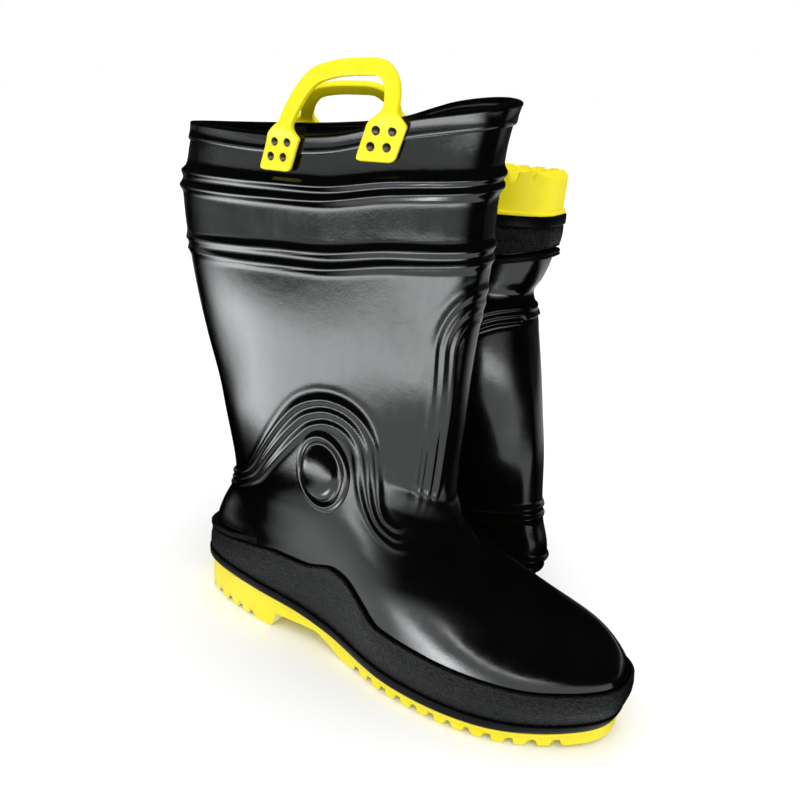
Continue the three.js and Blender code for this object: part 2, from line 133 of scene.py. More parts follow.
def sections(rim, slump):
    """Rows from the sole up: heel side x, toe side x, six heights, six half widths, share of SHIFT."""
    rim = np.array(rim, float)
    collar = (33, 36, 37, 37, 36, 34)
    rows = [
        (2.8, 330.5, (29.1, 29.1, 18.1, 10.6, 10.6, 15.6), (43, 41.7, 31.2, 47.5, 54.6, 55), 1),
        (2.6, 336.5, (46, 46, 41, 31, 30, 34), (43, 42, 32, 47, 54, 55.5), 1),
        (4, 334, (62, 62, 58, 51, 50, 51), (41, 41.5, 34, 45, 50.5, 51), 0.9),
        (8, 318, (75, 76, 75, 71, 69, 69), (39, 40, 36, 43, 45, 43), 0.8),
        (13, 293, (85, 87, 88, 88, 85, 79), (38, 40, 38, 42, 40, 37), 0.6),
        (18, 261, (94, 98, 102, 103, 99, 88), (37, 40, 40, 41, 38, 34), 0.4),
        (21, 232, (104, 109, 115, 119, 115, 101), (36, 40, 42, 41, 37, 32), 0.2),
        (22, 213, (117, 123, 130, 135, 133, 123), (35, 40, 43, 41, 37, 32), 0.1),
        (17.5, 206, (139, 145, 151, 156, 157, 155), (35, 39, 42, 40, 36, 32), 0),
        (8, 209, (169, 174, 180, 186, 189, 190), (34.5, 38, 40, 38.5, 36, 32), 0),
        (-5, 212, (210, 215, 221, 227, 232, 235), (34, 37, 38, 37.5, 36, 33), 0),
        (-18, 215, (259, 263, 268, 274, 280, 284), (33, 36, 37, 37, 36, 33), 0),
        (-26, 216.5, rim - 48, collar, 0),
        (-20.5, 218.5, rim - 23, collar, 0),
        (-14, 223, rim, collar, 0),
    ]
    back = np.array([r[0] for r in rows], float)
    bulge = [slump * math.sin((i - 4) * math.pi / 7) if 4 < i < 11 else 0 for i in range(len(rows))]
    return {
        "back": back - bulge,
        "front": np.array([r[1] for r in rows], float),
        "z": np.array([r[2] for r in rows], float),
        "half": np.array([r[3] for r in rows], float),
        "mid": np.array([SHIFT * r[4] for r in rows]),
    }


class Boot:
    """One boot's surface, its pose data and its place in the row frame."""

    def __init__(self, name, rim, tilt, slump, pad_drop, folds, inverted):
        self.name, self.tilt, self.pad_drop, self.folds, self.inverted = name, tilt, pad_drop, folds, inverted
        self.body = f"{name}_boot"
        self.rows = sections(rim, slump)

    def grid(self, key, t, v):
        columns = np.moveaxis(curve_at(self.rows[key], v), -1, 0)
        s = np.clip(t, 0, 1) * (STATIONS - 1)
        i = np.minimum(np.floor(s).astype(int), STATIONS - 2)
        near = (np.clip(i + k, 0, STATIONS - 1)[None] for k in (-1, 0, 1, 2))
        return catmull_rom(*(np.take_along_axis(columns, k, 0)[0] for k in near), s - i)

    def point(self, angle, v):
        """angle 0 is the heel's back, pi the toe's tip, the lateral side is between them."""
        angle, v = np.broadcast_arrays(np.asarray(angle, float), np.asarray(v, float))
        t = (1 - np.cos(angle)) / 2
        back, front = curve_at(self.rows["back"], v), curve_at(self.rows["front"], v)
        x = back + (front - back) * t
        sine = np.sin(angle)
        near_heel = ((1 + np.cos(angle)) / 2) ** 2 * (1 - stepped(0, HEEL_BLUNT_LEVEL, v))
        half = self.grid("half", t, v) * np.abs(sine) ** (0.8 - 0.25 * near_heel)
        y = self.grid("mid", t, v) - np.sign(sine) * half
        z = self.grid("z", t, v) - self.tilt * t * sine * np.clip(v, 0, None) ** 8
        return np.stack([x, y, z], -1)

    def normal(self, angle, v):
        step = 0.02
        along = self.point(angle + step, v) - self.point(angle - step, v)
        up = self.point(angle, np.minimum(v + step, 1)) - self.point(angle, np.maximum(v - step, 0))
        n = np.cross(along, up)
        return n / np.linalg.norm(n, axis=-1, keepdims=True)

    def offset(self, angle, v, out):
        out = np.asarray(out, float)
        return self.point(angle, v) + self.normal(angle, v) * (out[..., None] if out.ndim else out)

    def level_at(self, angle, z):
        """Section parameter where the surface reaches height z at this angle."""
        angle, z = np.broadcast_arrays(np.asarray(angle, float), np.asarray(z, float))
        low, high = np.zeros(angle.shape), np.ones(angle.shape)
        for _ in range(22):
            middle = (low + high) / 2
            under = self.point(angle, middle)[..., 2] < z
            low, high = np.where(under, middle, low), np.where(under, high, middle)
        return (low + high) / 2

    def on_side(self, side, x, z):
        """angle and level on one side (-1 lateral, 1 medial) at side-view position x, z."""
        x, z = np.broadcast_arrays(np.asarray(x, float), np.asarray(z, float))
        v = np.full(x.shape, 0.5)
        for _ in range(8):
            back, front = self.point(0, v)[..., 0], self.point(math.pi, v)[..., 0]
            angle = np.arccos(np.clip(1 - 2 * (x - back) / (front - back), -1, 1))
            angle = 2 * math.pi - angle if side > 0 else angle
            v = self.level_at(angle, z)
        return angle, v

    def placed(self, side, x, z, out):
        angle, v = self.on_side(side, x, z)
        return self.offset(angle, v, out)

    def place(self, points):
        """Boot frame in mm to row frame in m."""
        points = np.asarray(points, float)
        if self.inverted:
            points = np.array([LEFT_HEEL_X, LEFT_CENTRE_Y, LEFT_RIM]) - points
        return (points - np.array([HEEL_CENTRE, 0, 0])) * MM


RIGHT = Boot("right", (360, 360, 360.5, 364, 375, 380), 7, 0, 0.5,
             {"lateral": math.radians(-4), "medial": math.radians(-52)}, False)
LEFT = Boot("left", (LEFT_RIM,) * STATIONS, 0, 18, 8,
            {"lateral": math.radians(120), "medial": math.radians(120)}, True)
SIDES = {"lateral": -1, "medial": 1}


# ---------- meshes ----------
def new_object(name, points, faces, material, smooth=True):
    mesh = bpy.data.meshes.new(name)
    mesh.from_pydata([tuple(p) for p in points], [], faces)
    mesh.validate()
    mesh.update()
    if smooth:
        mesh.shade_smooth()
    piece = bpy.data.objects.new(name, mesh)
    bpy.context.scene.collection.objects.link(piece)
    mesh.materials.append(material)
    return piece


def outward(points, faces):
    """Faces wound so that the closed mesh's volume is positive."""
    points = np.asarray(points)
    corners = np.array([(f[0], f[j], f[j + 1]) for f in faces for j in range(1, len(f) - 1)])
    a, b, c = (points[corners[:, k]] for k in range(3))
    volume = np.sum(a * np.cross(b, c))
    return faces if volume > 0 else [tuple(reversed(f)) for f in faces]


def clean(corners):
    """A face without repeated corners, or None where fewer than three are left."""
    kept = [q for k, q in enumerate(corners) if q != corners[k - 1]]
    return tuple(kept) if len(set(kept)) > 2 else None


def lofted(rings, closed=False, fan=True):
    """Quads between rings of equal length; open lofts get a fan at each end."""
    count, n = len(rings), len(rings[0])
    points = list(np.concatenate(rings))
    faces = []
    for j in range(count if closed else count - 1):
        a, b = j * n, ((j + 1) % count) * n
        faces += [(a + i, a + (i + 1) % n, b + (i + 1) % n, b + i) for i in range(n)]
    if not closed and fan:
        for base, flip in ((0, True), ((count - 1) * n, False)):
            points.append(np.mean(points[base:base + n], 0))
            tip = len(points) - 1
            for i in range(n):
                corner = (base + i, base + (i + 1) % n, tip)
                faces.append(tuple(reversed(corner)) if flip else corner)
    return points, faces


def finish_piece(piece, body, slot, *nodes):
    if body:
        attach(piece, body)
    if nodes:
        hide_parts(*nodes)
    return piece


def add(boot, name, shape, slot, *nodes, material=None):
    """A closed piece given in the boot's frame, riding on the boot."""
    points, faces = shape
    placed = boot.place(points)
    piece = new_object(f"{boot.name}_{name}", placed, outward(placed, faces), MATERIALS[material or slot])
    return finish_piece(piece, boot.body, slot, *[f"{boot.name}_{n}" for n in nodes])


def shell(outer, inner):
    """A closed cup from an outer and an inner grid (rows go up, each row runs round the boot).

    Each row's first half is the lateral side, so a floor joins point i to point n - i."""
    n = len(outer[0])
    rings = list(outer) + list(inner[::-1])
    points, faces = lofted(rings, fan=False)
    for base, flip in ((0, True), ((len(rings) - 1) * n, False)):
        for i in range(n // 2):
            a, b = base + i, base + i + 1
            c, d = base + (n - i) % n, base + n - i - 1
            quad = clean([a, b, d, c])
            if quad:
                faces.append(tuple(reversed(quad)) if flip else quad)
    return points, faces


def round_the_boot(count):
    return np.arange(count) * 2 * math.pi / count


# ---------- materials ----------
class Shader:
    """A principled material and a few helpers for its nodes."""

    def __init__(self, name, color, roughness, **sockets):
        self.material = bpy.data.materials.new(name)
        self.material.use_nodes = True
        self.nodes = self.material.node_tree.nodes
        self.links = self.material.node_tree.links
        self.bsdf = self.nodes["Principled BSDF"]
        self.bsdf.inputs["Base Color"].default_value = (*color, 1)
        self.bsdf.inputs["Roughness"].default_value = roughness
        for socket, value in sockets.items():
            self.bsdf.inputs[socket.replace("_", " ")].default_value = value
        self.coordinate = self.nodes.new("ShaderNodeTexCoord").outputs["Object"]

    def node(self, kind, **settings):
        node = self.nodes.new(f"ShaderNode{kind}")
        for key, value in settings.items():
            setattr(node, key, value)
        return node

    def stretched(self, scale):
        mapping = self.node("Mapping")
        mapping.inputs["Scale"].default_value = scale
        self.links.new(self.coordinate, mapping.inputs["Vector"])
        return mapping.outputs["Vector"]

    def noise(self, scale, detail=4, rough=0.55, vector=None):
        node = self.node("TexNoise")
        node.inputs["Scale"].default_value = scale
        node.inputs["Detail"].default_value = detail
        node.inputs["Roughness"].default_value = rough
        self.links.new(vector or self.coordinate, node.inputs["Vector"])
        return node.outputs["Fac"]

    def cells(self, scale, feature="F1", vector=None):
        node = self.node("TexVoronoi", feature=feature)
        node.inputs["Scale"].default_value = scale
        self.links.new(vector or self.coordinate, node.inputs["Vector"])
        return node.outputs["Distance"]

    def between(self, value, low, high, to_low, to_high):
        node = self.node("MapRange")
        for socket, number in zip(("From Min", "From Max", "To Min", "To Max"), (low, high, to_low, to_high)):
            node.inputs[socket].default_value = number
        self.links.new(value, node.inputs["Value"])
        return node.outputs["Result"]

    def combined(self, a, b, operation="ADD"):
        node = self.node("Math", operation=operation)
        for socket, value in zip(node.inputs, (a, b)):
            if isinstance(value, (int, float)):
                socket.default_value = value
            else:
                self.links.new(value, socket)
        return node.outputs[0]

    def times(self, a, b):
        return self.combined(a, b, "MULTIPLY")

    def tint(self, factor, low, high):
        ramp = self.node("ValToRGB")
        ramp.color_ramp.elements[0].color = (*low, 1)
        ramp.color_ramp.elements[1].color = (*high, 1)
        self.links.new(factor, ramp.inputs["Fac"])
        self.links.new(ramp.outputs["Color"], self.bsdf.inputs["Base Color"])

    def rough(self, value):
        self.links.new(value, self.bsdf.inputs["Roughness"])

    def bump(self, height, distance, strength=1.0):
        node = self.node("Bump")
        node.inputs["Distance"].default_value = distance
        node.inputs["Strength"].default_value = strength
        self.links.new(height, node.inputs["Height"])
        self.links.new(node.outputs["Normal"], self.bsdf.inputs["Normal"])


def gloss_rubber():
    s = Shader("gloss_rubber", (0.003, 0.0033, 0.0035), 0.2)
    cloud = s.noise(26, 5)
    s.tint(cloud, (0.0006, 0.0007, 0.0008), (0.0022, 0.0024, 0.0026))
    scuffs = s.noise(150, 6, 0.7, s.stretched((1, 1, 0.25)))
    # the dulled attribute turns the vamp's specular level down to nearly nothing, which paints shade there
    dulled = s.node("Attribute", attribute_name="dulled").outputs["Fac"]
    patchy = s.between(s.times(cloud, scuffs), 0.12, 0.42, 0.1, 0.2)
    s.rough(s.combined(patchy, s.times(dulled, 0.3)))
    s.links.new(s.between(dulled, 0, 1, 0.5, 0.01), s.bsdf.inputs["Specular IOR Level"])
    s.bump(s.combined(s.noise(90, 3), s.times(s.noise(650, 2), 0.25)), 0.00025, 0.35)
    return s.material


def textured_rubber():
    s = Shader("textured_rubber", (0.02, 0.021, 0.023), 0.45, Specular_IOR_Level=0.15)
    pebbles = s.cells(620)
    s.tint(pebbles, (0.012, 0.0125, 0.014), (0.0006, 0.0006, 0.0008))
    s.rough(s.between(s.noise(300, 3), 0.3, 0.7, 0.2, 0.5))
    s.bump(s.combined(pebbles, s.noise(1400, 2)), 0.0007, 0.9)
    return s.material


def welt_rubber():
    s = Shader("welt_rubber", (0.002, 0.002, 0.002), 0.4, Specular_IOR_Level=0.08)
    s.tint(s.noise(60, 3), (0.001, 0.001, 0.001), (0.003, 0.003, 0.0035))
    s.bump(s.noise(420, 3), 0.0002, 0.3)
    return s.material


def sole_yellow():
    s = Shader("sole_yellow", (0.93, 0.80, 0.0), 0.42)
    grime = s.noise(34, 6, 0.65)
    s.tint(grime, (0.86, 0.70, 0.0), (0.98, 0.89, 0.004))
    s.rough(s.between(grime, 0.3, 0.7, 0.5, 0.36))
    s.bump(s.combined(s.noise(500, 3), s.times(s.noise(60, 2), 0.6)), 0.0003, 0.35)
    return s.material


def handle_yellow():
    s = Shader("handle_yellow", (0.95, 0.84, 0.0), 0.36, Subsurface_Weight=0.08, Subsurface_Scale=0.002)
    s.tint(s.noise(80, 4), (0.90, 0.77, 0.0), (0.99, 0.90, 0.004))
    s.rough(s.between(s.noise(220, 4), 0.3, 0.7, 0.3, 0.46))
    s.bump(s.noise(700, 3), 0.00015, 0.3)
    return s.material


def dark_rivet():
    s = Shader("dark_rivet", (0.05, 0.042, 0.035), 0.38, Metallic=0.85)
    s.tint(s.noise(700, 5), (0.02, 0.017, 0.014), (0.1, 0.085, 0.07))
    s.rough(s.between(s.noise(900, 3), 0.3, 0.7, 0.28, 0.55))
    s.bump(s.noise(1500, 2), 0.0001, 0.4)
    return s.material


def steel():
    s = Shader("pressed_steel", (0.6, 0.62, 0.64), 0.34, Metallic=1.0)
    drawn = s.noise(60, 4, 0.6, s.stretched((2, 40, 40)))
    s.tint(drawn, (0.48, 0.5, 0.52), (0.7, 0.71, 0.73))
    s.rough(s.between(drawn, 0.3, 0.7, 0.26, 0.45))
    s.bump(drawn, 0.0001, 0.3)
    return s.material


def fibre_board():
    s = Shader("fibre_board", (0.42, 0.3, 0.18), 0.85)
    fibres = s.noise(240, 6, 0.75)
    s.tint(fibres, (0.26, 0.18, 0.1), (0.6, 0.46, 0.3))
    s.bump(fibres, 0.0003, 0.6)
    return s.material


def woven(name, low, high, pitch):
    """A knit: two crossed waves make the stitches."""
    s = Shader(name, high, 0.92, Sheen_Weight=0.35)
    waves = []
    for turn in ((1, 0.35, 0), (-0.35, 1, 0.6), (0, 0.2, 1)):
        wave = s.node("TexWave", wave_type="BANDS", bands_direction="X")
        wave.inputs["Scale"].default_value = 1 / pitch
        wave.inputs["Distortion"].default_value = 1.2
        mapping = s.node("Mapping")
        mapping.inputs["Rotation"].default_value = turn
        s.links.new(s.coordinate, mapping.inputs["Vector"])
        s.links.new(mapping.outputs["Vector"], wave.inputs["Vector"])
        waves.append(wave.outputs["Fac"])
    stitches = s.combined(s.times(waves[0], waves[1]), waves[2])
    s.tint(s.times(stitches, s.noise(40, 4)), low, high)
    s.bump(stitches, 0.0004, 0.6)
    return s.material


MATERIALS = {
    "rubber_gloss": gloss_rubber(),
    "rubber_textured": textured_rubber(),
    "welt": welt_rubber(),
    "sole_yellow": sole_yellow(),
    "handle_yellow": handle_yellow(),
    "rivet_dark": dark_rivet(),
    "steel": steel(),
    "board_fibre": fibre_board(),
    "lining_textile": woven("lining_knit", (0.2, 0.18, 0.15), (0.5, 0.47, 0.4), 0.012),
    "footbed_foam": woven("footbed_cloth", (0.04, 0.045, 0.05), (0.16, 0.17, 0.19), 0.009),
}


# ---------- raised lines of the upper ----------
# the outer of three raised lines: from the back of the ankle over the ankle bone, down to the
# instep, up beside the shin and over its front (side-view x and height)
WAVE = [(14, 104), (28, 107), (42, 114), (61, 128), (74, 146), (84, 161), (94, 175), (105, 187), (117, 194),
        (130, 197), (143, 195), (153, 189), (160, 180), (164, 170), (166, 158), (168, 145), (171, 132),
        (175, 124), (180, 120), (185, 118), (189, 120), (192, 126), (193, 136), (193, 150), (194, 174),
        (195, 190), (196, 210), (196, 240)]
WAVE_GAP = 8.3
WAVE_GAP_BEHIND = 4.6   # the lines draw together behind the ankle
WAVE_TOP = 277.0        # the arch over the shin


def signed_distance(px, pz, line):
    """Distance to a polyline, positive on its right-hand side along its direction."""
    best = np.full(px.shape, 1e9)
    signed = np.zeros(px.shape)
    for (ax, az), (bx, bz) in zip(line[:-1], line[1:]):
        dx, dz = bx - ax, bz - az
        length = dx * dx + dz * dz
        t = np.clip(((px - ax) * dx + (pz - az) * dz) / length, 0, 1)
        ex, ez = px - ax - t * dx, pz - az - t * dz
        d = ex * ex + ez * ez
        closer = d < best
        best = np.where(closer, d, best)
        signed = np.where(closer, np.sign(dz * ex - dx * ez), signed)
    return np.sqrt(best) * np.where(signed == 0, 1, signed)


def round_front(boot, points, angle, v):
    """Side-view x that keeps counting round the front of the shin."""
    middle = np.full(v.shape, 0.5)
    beside = boot.grid("half", middle, v) - np.abs(points[..., 1] - boot.grid("mid", middle, v))
    return points[..., 0] + np.where(np.cos(angle) < 0, np.clip(beside, 0, None), 0)


def wave_relief(boot, points, angle, v):
    wrapped = round_front(boot, points, angle, v)
    line = curve_at(WAVE, np.linspace(0, 1, 140))
    a, level = boot.on_side(-1, line[:, 0], line[:, 1])
    on_line = boot.point(a, level)
    line = np.stack([round_front(boot, on_line, a, level), line[:, 1]], 1)
    crown_w, crown_z = line[-1]
    centre_w = float(round_front(boot, boot.point(math.pi, 0.78), np.array(math.pi), np.array(0.78)))
    turn = np.linspace(0, math.pi / 2, 12)[1:]
    arch_w = centre_w - (centre_w - crown_w) * np.cos(turn)
    arch = np.stack([arch_w, crown_z + (WAVE_TOP - crown_z) * np.sin(turn)], 1)
    line = np.concatenate([line, arch])
    near = (points[..., 2] > 75) & (points[..., 2] < WAVE_TOP + 12)
    d = np.full(points.shape[:-1], 99.0)
    d[near] = signed_distance(wrapped[near], points[..., 2][near], line)
    gap = WAVE_GAP_BEHIND + (WAVE_GAP - WAVE_GAP_BEHIND) * stepped(45, 120, wrapped)
    gap = gap * (1 - 0.28 * stepped(150, 168, wrapped) * (1 - stepped(108, 150, points[..., 2])))
    # the lines fade out where they come round the front of the ankle
    shown = 1 - stepped(200, 212, wrapped) * (1 - stepped(122, 150, points[..., 2]))
    ridges = sum(height * hump(d - k * gap, 0.33 * gap) for k, height in enumerate((1.8, 1.7, 1.5)))
    on_shin = stepped(182, 192, wrapped) * stepped(165, 200, points[..., 2])
    return shown * (1 - 0.5 * on_shin) * (ridges - 0.35 * hump(d + 0.8 * gap, 0.35 * gap))


# depth below the rim at the back, middle and front, height and width: the double rib near the rim
# with the low swell that carries it, and the lower double rib
RINGS = [((32, 28, 37), 2.3, 2.7), ((42, 37, 44), 2.3, 2.7), ((37, 32, 40), 0.6, 9.0),
         ((78, 68, 77), 1.7, 2.5), ((86, 78, 85), 1.7, 2.5)]


def ring_relief(points, rim_z):
    depth = rim_z - points[..., 2]
    along = (points[..., 0] + 20) / 240
    return sum(height * hump(depth - curve_at(lines, along), width) for lines, height, width in RINGS)


def folds_relief(points):
    """Soft dents and creases where the rubber gives."""
    x, y, z = points[..., 0], points[..., 1], points[..., 2]
    side = np.where(y < 0, 1.0, 0.8)
    achilles = -2.6 * hump(x - 30, 34) * hump(z - 196 - 0.5 * (x - 30), 34) * side
    hollow = 1.4 * hump(x - 70, 40) * hump(z - 245, 40) * side
    crease = 0
    for zc, depth, lift in ((118, 1.4, 0.32), (104, 1.1, 0.26), (133, 0.9, 0.4)):
        centre = zc + lift * np.abs(y) - 0.12 * (x - 200)
        crease = crease - depth * hump(z - centre, 4.2) * stepped(165, 205, x)
    on_shin = stepped(120, 150, z) * (1 - stepped(300, 330, z)) * stepped(150, 200, x)
    shin = 0.8 * np.sin(z / 21 + y / 17) * on_shin
    wobble = 0.45 * np.sin(x / 27 + z / 39) * np.sin(z / 31 - x / 53) * stepped(60, 110, z)
    return achilles + hollow + crease + shin + wobble


UPPER_AROUND = 420
UPPER_ROWS = 330


def upper(boot):
    angle = round_the_boot(UPPER_AROUND)
    low = boot.level_at(angle, sole_top(boot.point(angle, 0.02)[:, 0]) + SEAM)
    up = np.linspace(0, 1, UPPER_ROWS)[:, None]
    v = low + (1 - low) * up
    a = np.broadcast_to(angle, v.shape)
    base = boot.point(a, v)
    rim_z = boot.point(angle, np.ones(UPPER_AROUND))[:, 2]
    relief = wave_relief(boot, base, a, v) + ring_relief(base, rim_z) + folds_relief(base)
    relief = relief * stepped(0, 0.06, up) * (1 - stepped(0.985, 1, up))
    outer = base + boot.normal(a, v) * relief[..., None]
    ups = np.linspace(0, 1, 60)[:, None]
    vi = low + (1 - low) * (0.012 + 0.988 * ups)
    ai = np.broadcast_to(angle, vi.shape)
    inner = boot.offset(ai, vi, -WALL)
    inner[0, :, 2] = sole_top(inner[0, :, 0]) + SEAM + FLOOR_WALL
    shape = shell(list(outer), list(inner))
    piece = add(boot, "upper_moulding", shape, "rubber_gloss", "upper")
    # over the vamp the surface is dulled so that it reflects almost nothing, which is painted shade: a given
    # look and not a finish that the rubber has
    x, z = base[..., 0], base[..., 2]
    dulled = np.zeros(len(shape[0]))
    dulled[:x.size] = (stepped(150, 200, x) * stepped(62, 84, z) * (1 - stepped(122, 148, z))).ravel()
    piece.data.attributes.new("dulled", "FLOAT", "POINT").data.foreach_set("value", dulled)


def swept_round(boot, angle, level, profile):
    """Rings round the boot at (rise above level's height, out) pairs."""
    rings = []
    height = boot.point(angle, level)[..., 2]
    for rise, out in profile:
        v = boot.level_at(angle, height + rise) if rise <= 0 else level
        ring = boot.offset(angle, v, out)
        if rise > 0:
            ring[..., 2] += rise
        rings.append(ring)
    return rings


def collar_band(boot):
    """The rolled lip that covers the rim, with a bead on its lower edge."""
    angle = round_the_boot(UPPER_AROUND)
    level = np.ones(UPPER_AROUND)
    profile = [(-11, 0.2), (-10.8, 0.7), (-10, 1.05), (-9, 1.2), (-8, 1.15), (-7.2, 1.05), (-6, 1.0),
               (-3.5, 1.1), (-1.5, 1.4), (-0.2, 1.55), (0.5, 1.2), (0.95, 0.4), (1.1, -1), (1.1, -3.4),
               (0.9, -4.6), (0.3, -5.3), (-1.5, -5.6), (-4, -5.5), (-5.5, -4.8), (-5.5, -4.4), (-1, -4.3),
               (0.1, -3.6), (0.1, -0.6), (-0.6, 0.2), (-6, 0.2)]
    if boot.inverted:      # it stands on this lip, which is pressed level with the rim
        profile = [(min(rise, 0.05), out) for rise, out in profile]
    shape = lofted(swept_round(boot, angle, level, profile), closed=True)
    add(boot, "collar_lip", shape, "rubber_gloss", "collar_band")


# ---------- rand, welt, spur ----------
RAND_EDGE_X = (0, 40, 83, 118, 143, 158, 166, 178, 230, 290, 340)
RAND_EDGE_Z = (50, 58, 67, 67, 75, 71, 58, 46, 42, 41, 45)
RAND_FOOT = 7.4         # its lower edge above the top of the sole
WELT_MIDDLE = 2.3, 3.4  # of its section: out from the boot, and above the sole
WELT_HALF = 2.0, 3.4


def rand_top(x):
    fine = np.linspace(-20, 360, 381)
    raw = np.interp(fine, RAND_EDGE_X, RAND_EDGE_Z)
    kernel = hump(np.arange(-12, 13), 5.0)
    eased = np.convolve(np.pad(raw, 12, mode="edge"), kernel / kernel.sum(), mode="valid")
    return np.interp(x, fine, eased)


def rand(boot):
    angle = round_the_boot(360)
    sole_z = sole_top(boot.point(angle, 0.02)[:, 0])
    top_z = rand_top(boot.point(angle, 1 / 14)[:, 0])
    rows = []
    profile = [(0, 2.9), (0.12, 3.1), (0.3, 3.3), (0.5, 3.3), (0.7, 3.1), (0.85, 2.8), (0.93, 2.5),
               (0.965, 2.9), (0.99, 2.6), (1, 1.9), (1, 0.9), (0.93, 0.75), (0.5, 0.75), (0, 0.75)]
    for share, out in profile:
        z = sole_z + RAND_FOOT + (top_z - sole_z - RAND_FOOT) * share
        rows.append(boot.offset(angle, boot.level_at(angle, z), out))
    add(boot, "rand_strip", lofted(rows, closed=True), "rubber_textured", "rand")


def foot_outline(boot, angle, out, z):
    ring = boot.offset(angle, 0.02, out)
    ring[:, 2] = z
    return ring


def welt(boot):
    """The glossy bead between the yellow sole and the textured rand."""
    angle = round_the_boot(360)
    base = sole_top(boot.point(angle, 0.02)[:, 0]) + SEAM
    rows = []
    steps = 18
    for k in range(steps):
        turn = 2 * math.pi * k / steps
        out = WELT_MIDDLE[0] + WELT_HALF[0] * square(math.cos(turn))
        rise = WELT_MIDDLE[1] + WELT_HALF[1] * square(math.sin(turn))
        rows.append(boot.offset(angle, boot.level_at(angle, base + rise), out))
    add(boot, "welt", lofted(rows, closed=True), "rubber_gloss", material="welt")


def kick_spur(boot):
    angle = np.linspace(-0.9, 0.9, 90)
    low = rand_top(boot.point(angle, 0.1)[:, 0]) + 1.6
    fade = 1 - stepped(0.62, 0.9, np.abs(angle))
    ribs = 0.3 * (0.5 + 0.5 * np.cos(angle * 110)) * fade
    reach = 0.8 + 3.4 * fade
    profile = [(0, 0.3), (0, 0.35), (0.2, 0.7), (1, 0.85), (1.8, 0.95), (2.4, 0.8), (3.1, 0.97), (3.9, 1.0),
               (4.6, 0.9), (5.0, 0.6), (5.1, 0.1), (4.9, -0.3), (2, -0.3), (0.3, -0.3)]
    rows = []
    for rise, share in profile:
        v = boot.level_at(angle, low + rise)
        rows.append(boot.offset(angle, v, share * reach + (ribs if share > 0.8 else 0)))
    add(boot, "heel_spur", lofted(list(np.stack(rows, 1))), "rubber_textured", "kick_spur", material="welt")


ANKLE_PAD_MIDDLE = 129, 146
ANKLE_PAD_HALF = 20.5, 29


def ankle_pad(boot, side_name):
    """An oval with a raised rim round a hollow, and an egg-shaped knob standing in the hollow."""
    side = SIDES[side_name]
    turn = round_the_boot(112)
    profile = [(1.0, -0.6, 0), (1.0, 0.4, 0), (0.985, 1.2, 0), (0.95, 1.9, 0), (0.9, 2.5, 0), (0.85, 2.7, 0),
               (0.8, 2.4, 0), (0.76, 1.6, 0), (0.73, 0.7, 0.1), (0.7, 0.4, 0.3), (0.67, 0.5, 0.6),
               (0.64, 1.3, 0.8), (0.6, 2.4, 1), (0.54, 3.5, 1), (0.46, 4.3, 1), (0.36, 4.9, 1),
               (0.25, 5.2, 1), (0.12, 5.4, 1)]
    rows = []
    for scale, out, knob in profile:
        x = ANKLE_PAD_HALF[0] * scale * np.cos(turn) - 2 * knob
        z = ANKLE_PAD_HALF[1] * scale * np.sin(turn) - 1.5 * knob
        rows.append(boot.placed(side, ANKLE_PAD_MIDDLE[0] + x - 0.08 * z, ANKLE_PAD_MIDDLE[1] + z, out))
    add(boot, f"ankle_shield_{side_name}", lofted(rows), "rubber_gloss", f"ankle_pad_{side_name}")


# ---------- outsole ----------
WAIST_END = 150.0
WAIST_RISE = 13.0
TOE_SPRING_START = 283.0
TOE_SPRING = 8.0
LUG_PITCH = 13.0
LUG_SLOT = 5.0
LUG_REACH = 15.0
TREAD = 4.5


def tread_z(x):
    """Height of the tread's underside: bevelled heel, waist, flat forefoot and toe spring."""
    along = (-4, 0, 10, HEEL_LENGTH, HEEL_LENGTH + 4, WAIST_END - 25, WAIST_END, TOE_SPRING_START, FOOT + 60)
    height = (HEEL_BEVEL + 3, HEEL_BEVEL, 0, 0, WAIST_RISE, WAIST_RISE - 1, 0, 0, TOE_SPRING)
    return np.interp(x, along, height)


def slot_starts():
    xs = np.arange(8, FOOT - 20, LUG_PITCH)
    return [x for x in xs if not HEEL_LENGTH - 12 < x < WAIST_END + 8]


def slot_mask(x, from_edge):
    """1 inside a tread groove: side slots, and a chevron channel down the middle."""
    side_slot = np.zeros(np.broadcast(x, from_edge).shape)
    for start in slot_starts():
        end = start + LUG_SLOT
        along = stepped(start - 0.3, start + 0.3, x) * (1 - stepped(end - 0.3, end + 0.3, x))
        side_slot = np.maximum(side_slot, along * (1 - stepped(LUG_REACH - 0.6, LUG_REACH + 0.6, from_edge)))
    phase = (x + 0.7 * np.clip(from_edge - LUG_REACH, 0, 60)) % LUG_PITCH
    inboard = stepped(LUG_REACH + 2.4, LUG_REACH + 3.6, from_edge)
    chevron = stepped(3.6, 4.4, phase) * (1 - stepped(7.6, 8.4, phase)) * inboard
    lugged = (x > 10) & (x < FOOT - 14) & ((x < HEEL_LENGTH - 8) | (x > WAIST_END + 6))
    return np.where(lugged, np.maximum(side_slot, chevron), 0)


def sole_angles():
    xs = list(FOOT / 2 * (1 - np.cos(np.linspace(0, math.pi, 210))))
    for start in slot_starts():
        for edge in (start, start + LUG_SLOT):
            xs += [edge - 0.3, edge + 0.3]
    for knee in (HEEL_LENGTH, HEEL_LENGTH + 4):
        xs += [knee - 0.2, knee + 0.2]
    xs = np.unique(np.round(np.clip(xs, 0, FOOT), 2))
    half = np.arccos(np.clip(1 - 2 * xs / FOOT, -1, 1))
    return np.concatenate([half, 2 * math.pi - half[-2:0:-1]])


